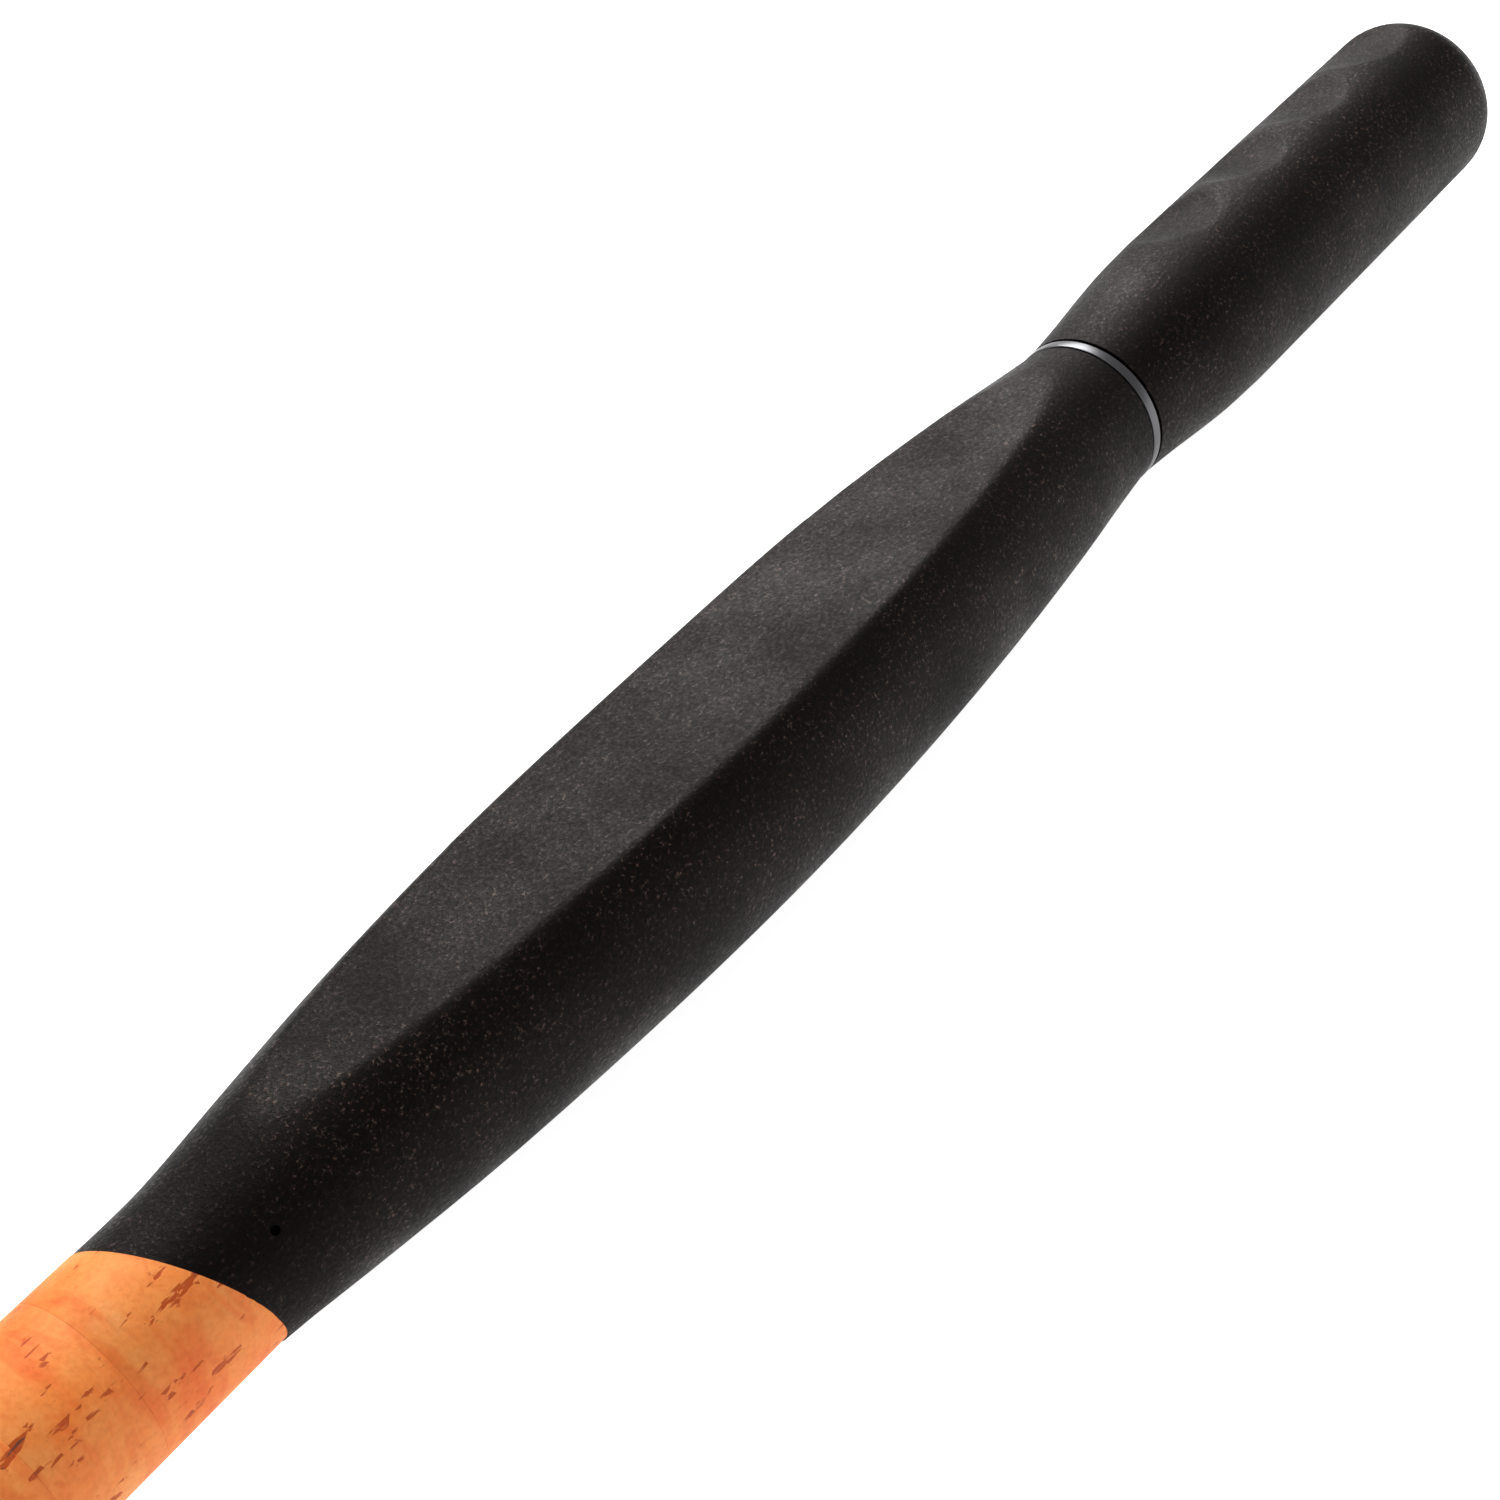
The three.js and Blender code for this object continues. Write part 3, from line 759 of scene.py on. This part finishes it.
def ferrule_collar():
    start, stop = place("ferrule_collar", 0), place("ferrule_collar", 1)
    edge, groove_r = 0.5 * MM, 0.2 * MM
    outline = [(start, ON_BLANK), *arc((start + edge, COLLAR_R - edge), edge, 180, 90, 5)]
    for groove_at in (2 * MM, 3 * MM):
        outline += arc((start + groove_at, COLLAR_R), groove_r, 180, 360, 6)
    outline += arc((stop - edge, COLLAR_R - edge), edge, 90, 0, 5)
    outline += [(stop, ON_BLANK), (start, ON_BLANK)]
    collar = turned("turned_ferrule_collar", outline)
    finish_piece(collar, "handle", ["ferrule_collar"], ALUMINIUM)


# Reel seat.

def seat_barrel():
    """The barrel's thread is cut as rings and then sheared into a helix. The shear's seam lies on
    the reel side, where the flat bed takes it away."""
    start, stop = place("seat_barrel", 0), place("seat_barrel", 1)
    thread_start = stop - THREAD_LENGTH
    edge = 0.3 * MM
    outline = [(start, SEAT_BORE), *arc((start + edge, SEAT_R - edge), edge, 180, 90, 3)]
    outline += [(thread_start - 1.2 * MM, SEAT_R), (thread_start - 0.6 * MM, THREAD_ROOT_R)]
    turn_at = thread_start + 1.2 * MM
    while turn_at < stop - 3.2 * MM:
        outline += [(turn_at + along * MM, radius) for along, radius in THREAD_TURN]
        turn_at += THREAD_PITCH
    outline += [(stop - 0.4 * MM, THREAD_ROOT_R), (stop, THREAD_ROOT_R - 0.4 * MM)]
    outline += [(stop, SEAT_BORE), (start, SEAT_BORE)]
    barrel = turned("moulded_seat_barrel", outline, 96)
    for corner in barrel.data.vertices:
        x, y, z = corner.co
        on_thread = thread_start + MM < x < stop - 1.5 * MM and math.hypot(y, z) > SEAT_BORE + MM
        if on_thread:
            angle = math.atan2(y, -z) % (2 * math.pi)
            corner.co.x += THREAD_PITCH * (angle / (2 * math.pi) - 0.5)
    cut(barrel, block((start + BED_START, -0.02, -0.02), (stop + MM, 0.02, -BED_AT)))
    finish_piece(barrel, "handle", ["seat_barrel"], NYLON)


def roof_drop(x, closed_at, open_at):
    """How far a hood's roof has come down at x, towards its closed end."""
    along = min(max((x - closed_at) / (0.6 * (open_at - closed_at)), 0), 1)
    return HOOD_DROP * (1 - along * along * (3 - 2 * along))


def hood(name, closed_at, open_at, bore):
    """Drawn stainless sheet: a sleeve with an arched pocket for one toe of the reel's foot."""
    roof = BED_AT + FOOT_HEIGHT + HOOD_WALL
    forward = 1 if open_at > closed_at else -1
    inner_end = closed_at + forward * HOOD_END_WALL
    sleeve_r = SEAT_R + 0.3 * MM + HOOD_WALL

    def outside(x, inset=0.0):
        return arch_radius(
            FOOT_HALF_WIDTH + HOOD_WALL - inset,
            roof - roof_drop(x, closed_at, open_at) - inset,
            sleeve_r - inset,
            4.5,
            0.8 * MM,
        )

    def inside(x, inset=0.0):
        return arch_radius(
            FOOT_HALF_WIDTH - inset,
            roof - HOOD_WALL - roof_drop(x, closed_at, open_at) - inset,
            bore,
            8,
            0.1 * MM,
        )

    steps = 10
    length = open_at - closed_at
    places = [closed_at + length * (0.05 + 0.9 * n / steps) for n in range(steps + 1)]
    outline = [(closed_at, bore), (closed_at, outside(closed_at, 0.5 * MM))]
    outline += [(closed_at + forward * 0.25 * MM, outside(closed_at, 0.13 * MM))]
    outline += [(x, outside(x)) for x in places]
    outline += [(open_at - forward * 0.25 * MM, outside(open_at, 0.08 * MM))]
    outline += [(open_at, outside(open_at, 0.35 * MM)), (open_at, inside(open_at))]
    walls = [open_at + (inner_end - open_at) * n / steps for n in range(1, steps + 1)]
    outline += [(x, inside(x)) for x in walls]
    outline += [(inner_end, bore), (closed_at, bore)]
    return turned(name, outline, 144)


def hood_cushion(name, inner_end, open_at, closed_at):
    """A soft liner that follows the hood's roof."""
    half = FOOT_HALF_WIDTH - 0.8 * MM
    deselect()
    bpy.ops.mesh.primitive_grid_add(x_subdivisions=14, y_subdivisions=18, size=1)
    cushion = bpy.context.object
    cushion.name = name
    roof = BED_AT + FOOT_HEIGHT
    for corner in cushion.data.vertices:
        x = inner_end + (corner.co.x + 0.5) * (open_at - inner_end)
        y = corner.co.y * 2 * half
        crown = (1 - (abs(y) / FOOT_HALF_WIDTH) ** 8) ** (1 / 8)
        corner.co = (x, y, -(roof - roof_drop(x, closed_at, open_at)) * crown + 0.2 * MM)
    modify(cushion, "SOLIDIFY", thickness=CUSHION, offset=0)
    for corner in cushion.data.vertices:
        corner.co.z += CUSHION / 2
    modify(cushion, "BEVEL", width=0.2 * MM, segments=2, limit_method="ANGLE")
    pick(cushion)
    bpy.ops.object.mode_set(mode="EDIT")
    bpy.ops.mesh.select_all(action="SELECT")
    bpy.ops.mesh.normals_make_consistent(inside=False)
    bpy.ops.object.mode_set(mode="OBJECT")
    return cushion


def hoods():
    start, stop = place("fixed_hood", 0), place("fixed_hood", 1)
    fixed = hood("drawn_fixed_hood", start, stop, SEAT_R + 0.05 * MM)
    finish_piece(fixed, "handle", ["fixed_hood"], STAINLESS, 40)
    cushion = hood_cushion("fixed_hood_liner", start + HOOD_END_WALL + 0.3 * MM, stop, start)
    finish_piece(cushion, "handle", ["fixed_hood_cushion"], LINER)
    start, stop = place("sliding_hood", 0), place("sliding_hood", 1)
    sliding = hood("drawn_sliding_hood", stop, start, SEAT_R + 0.15 * MM)
    finish_piece(sliding, "hood", ["sliding_hood"], STAINLESS, 40)
    cushion = hood_cushion("sliding_hood_liner", stop - HOOD_END_WALL - 0.3 * MM, start, stop)
    finish_piece(cushion, "hood", ["sliding_hood_cushion"], LINER)


def locking_nut():
    start, stop = place("locking_nut", 0), place("locking_nut", 1)

    def fluted(depth, inset=0.0):
        def reach(angle):
            spot = (angle * NUT_FLUTES / (2 * math.pi)) % 1 - 0.5
            hollow = max(1 - (spot / 0.3) ** 2, 0)
            return NUT_R - inset - depth * hollow
        return reach

    bore = THREAD_R + 0.3 * MM
    outline = [(start, bore)]
    for x, depth, inset in NUT_END:
        outline.append((start + x * MM, fluted(NUT_FLUTE * depth, inset * MM)))
    for x, depth, inset in reversed(NUT_END):
        outline.append((stop - x * MM, fluted(NUT_FLUTE * depth, inset * MM)))
    outline += [(stop, bore), (start, bore)]
    nut = turned("moulded_locking_nut", outline, 320)
    finish_piece(nut, "nut", ["locking_nut"], NYLON)


# Blank, ferrule and hook keeper.

def ferrule():
    start, stop = place("ferrule_tube", 0), place("ferrule_tube", 1)
    lip = 0.4 * MM
    outline = [
        (start, SOCKET_R),
        (start, BLANK_R),
        (stop - lip / 2, BLANK_R),
        (stop, BLANK_R - lip / 2),
        (stop, SOCKET_R + lip / 2),
        (stop - lip, SOCKET_R),
        (start, SOCKET_R),
    ]
    tube = turned("rolled_ferrule_tube", outline)
    finish_piece(tube, "handle", ["ferrule_tube"], CARBON)
    start, stop = place("splice_spigot", 0), place("splice_spigot", 1)
    tight = SOCKET_R - 0.05 * MM
    outline = [(start, tight - lip), (start + lip, tight), (stop - lip, tight), (stop, tight - lip)]
    spigot = turned("ground_splice_spigot", outline)
    finish_piece(spigot, "handle", ["splice_spigot"], CARBON)


def foot_wrap(node):
    """Thread wound round the blank and over one foot of the keeper, a ridge for each turn."""
    start, stop = place(node, 0), place(node, 1)
    over_foot = BLANK_R + 0.3 * MM + KEEPER_FOOT + 0.2 * MM
    channel = arch_radius(KEEPER_FOOT_HALF + 0.3 * MM, over_foot, ON_BLANK, 6, 0.05 * MM)

    def wound(inset):
        return arch_radius(KEEPER_FOOT_HALF + 1.5 * MM, over_foot + 0.55 * MM - inset,
                           WRAP_R - 0.1 * MM - inset, 3, 0.7 * MM)

    turns = round((stop - start) / WRAP_PITCH)
    outline = [(start, channel), (start, wound(0.35 * MM))]
    for turn in range(turns):
        x = start + (turn + 0.5) * (stop - start) / turns
        taper = 0.2 * MM if turn in (0, turns - 1) else 0
        outline.append((x, wound(taper)))
        if turn < turns - 1:
            outline.append((x + WRAP_PITCH / 2, wound(taper + 0.11 * MM)))
    outline += [(stop, wound(0.35 * MM)), (stop, channel)]
    outline.append(outline[0])
    wrap = turned(f"wound_{node}", outline, 96)
    finish_piece(wrap, "handle", [node], THREAD, 60)


def keeper_base():
    """A stamped strip with thin toes under the bindings, and a round-topped lug with an eye."""
    low, high = place("keeper_base", 0), place("keeper_base", 1)
    seat = BLANK_R + 0.3 * MM
    strip = block((low, -KEEPER_FOOT_HALF, -seat - KEEPER_FOOT), (high, KEEPER_FOOT_HALF, -seat))
    strip.name = "stamped_keeper_base"
    pick(strip)
    bpy.ops.object.mode_set(mode="EDIT")
    bpy.ops.mesh.select_all(action="SELECT")
    bpy.ops.mesh.subdivide(number_cuts=15)
    bpy.ops.object.mode_set(mode="OBJECT")
    for corner in strip.data.vertices:
        out = max(abs(corner.co.x - KEEPER_X) - 7 * MM, 0) / (6 * MM)
        corner.co.y *= 1 - 0.45 * out ** 2
        if corner.co.z < -seat - 0.1 * MM:
            corner.co.z += 0.45 * MM * out
    lug = block((KEEPER_X - KEEPER_POST_HALF, -KEEPER_POST_HALF, -KEEPER_PIVOT_AT),
                (KEEPER_X + KEEPER_POST_HALF, KEEPER_POST_HALF, -seat))
    cut(lug, cross_pin(KEEPER_X, KEEPER_PIVOT_AT, KEEPER_POST_HALF, 2 * KEEPER_POST_HALF), "UNION")
    cut(strip, lug, "UNION")
    cut(strip, cross_pin(KEEPER_X, KEEPER_PIVOT_AT, KEEPER_EYE_R, 0.01, 32))
    modify(strip, "BEVEL", width=0.15 * MM, segments=2, limit_method="ANGLE")
    finish_piece(strip, "handle", ["keeper_base"], KEEPER_STEEL)


def keeper_loop():
    """One bent wire: its two ends turn in the lug's eye from either side."""
    half, end, bend = KEEPER_HALF, KEEPER_LENGTH, 1.5 * MM
    route = [(0, 0.15 * MM), (0, half - bend)]
    for step in range(1, 7):
        t = step / 6
        route.append((bend * t * t, half - bend + bend * (2 * t - t * t)))
    for step in range(1, 31):
        t = step / 30
        ease = (1 - t) ** 3 + 3 * (1 - t) ** 2 * t
        bow = 3 * (1 - t) * t
        route.append((bend * (1 - bow) + bow * (end + 2 * MM), half * (2 * ease - 1)))
    route += [(x, -y) for x, y in reversed(route[:7])]
    wire = bpy.data.curves.new("keeper_wire", "CURVE")
    wire.dimensions = "3D"
    wire.bevel_depth = KEEPER_WIRE_R
    wire.bevel_resolution = 4
    wire.use_fill_caps = True
    spline = wire.splines.new("POLY")
    spline.points.add(len(route) - 1)
    for point, (x, y) in zip(spline.points, route):
        point.co = (KEEPER_X + x, y, -KEEPER_PIVOT_AT, 1)
    loop = bpy.data.objects.new("bent_keeper_loop", wire)
    bpy.context.scene.collection.objects.link(loop)
    pick(loop)
    bpy.ops.object.convert(target="MESH")
    loop = bpy.context.object
    bpy.ops.object.mode_set(mode="EDIT")
    bpy.ops.mesh.select_all(action="SELECT")
    bpy.ops.mesh.remove_doubles(threshold=1e-6)
    bpy.ops.mesh.normals_make_consistent(inside=False)
    bpy.ops.object.mode_set(mode="OBJECT")
    finish_piece(loop, "keeper", ["keeper_loop"], KEEPER_STEEL, 60)


def inner_pieces():
    """Pieces inside the handle keep the frame's shapes."""
    finishes = {"rod_blank": CARBON, "butt_plug": RUBBER}
    finishes.update({f"seat_arbor_{number}": BOARD for number in (1, 2, 3)})
    for name, material in finishes.items():
        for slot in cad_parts[name].material_slots:
            slot.material = material


# Stage: a pale floor, soft light and the camera.

def stage():
    deselect()
    floor_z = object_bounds()[0].z - 0.2 * MM
    bpy.ops.mesh.primitive_plane_add(size=12, location=(0.2, 0, floor_z))
    floor = bpy.context.object
    floor.name = "studio_floor"
    material = new_material(
        "matt_white_floor",
        Base_Color=(0.6, 0.6, 0.6, 1),
        Roughness=0.95,
        Emission_Color=(1, 1, 1, 1),
        Emission_Strength=0.93,
    )[0]
    floor.data.materials.append(material)
    floor.visible_diffuse = False
    floor.visible_shadow = False
    floor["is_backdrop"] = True


def light(name, direction, distance, size, power, target):
    data = bpy.data.lights.new(name, "AREA")
    data.shape = "SQUARE"
    data.size = size
    data.energy = power
    lamp = bpy.data.objects.new(name, data)
    bpy.context.scene.collection.objects.link(lamp)
    away = Vector(direction).normalized()
    lamp.location = Vector(target) + away * distance
    lamp.rotation_euler = away.to_track_quat("Z", "Y").to_euler()


def lights():
    world = bpy.data.worlds.new("studio")
    world.use_nodes = True
    tree = world.node_tree
    direction = add(tree, "ShaderNodeTexCoord").outputs["Generated"]
    height = add(tree, "ShaderNodeSeparateXYZ", links={0: direction})
    glow = add(tree, "ShaderNodeMapRange",
               {"From Min": -0.25, "From Max": 0.25, "To Min": 1.14, "To Max": 0.38},
               {"Value": height.outputs["Z"]})
    tree.nodes["Background"].inputs["Color"].default_value = (1, 1, 1, 1)
    tree.links.new(glow.outputs["Result"], tree.nodes["Background"].inputs["Strength"])
    bpy.context.scene.world = world
    middle = (0.2, 0, 0)
    # The key grazes the long flats and the scoops; the other lifts the cork from above.
    light("key_softbox", (-0.55, -0.47, 0.69), 1.6, 0.9, 33, middle)
    light("top_softbox", (0.1, 0.1, 1.0), 1.9, 1.6, 3, middle)


def camera():
    """Looks down the handle from the tip end: 56 degrees between the view and the axis."""
    focus = Vector((0.187, 0, 0))
    view_angle = math.radians(56.4)
    nearest = REEL_SIDE.cross(AXIS)
    back = (AXIS * math.cos(view_angle) + nearest * math.sin(view_angle)).normalized()
    distance = 0.343
    butt_in_view = (-AXIS - back * (-AXIS).dot(back)).normalized()
    butt_slope = math.radians(44.25)
    side = back.cross(butt_in_view)
    right = butt_in_view * math.cos(butt_slope) - side * math.sin(butt_slope)
    up = back.cross(right)
    data = bpy.data.cameras.new("camera")
    data.sensor_width = 36
    data.lens = 64.8
    data.clip_start = 0.01
    turn = Matrix((right, up, back)).transposed().to_4x4()
    offset = side * -0.00069
    eye = bpy.data.objects.new("camera", data)
    eye.matrix_world = Matrix.Translation(focus + back * distance + offset) @ turn
    bpy.context.scene.collection.objects.link(eye)
    bpy.context.scene.camera = eye
    bpy.context.scene.view_settings.view_transform = "Standard"


butt_grip()
trim_ring()
rear_grip()
cork_rings()
rear_winding_check()
seat_barrel()
hoods()
locking_nut()
fore_cork_rings()
fore_grip_cap()
front_winding_check()
ferrule()
ferrule_collar()
foot_wrap("rear_foot_wrap")
foot_wrap("front_foot_wrap")
keeper_base()
keeper_loop()
inner_pieces()
stage()
lights()
camera()
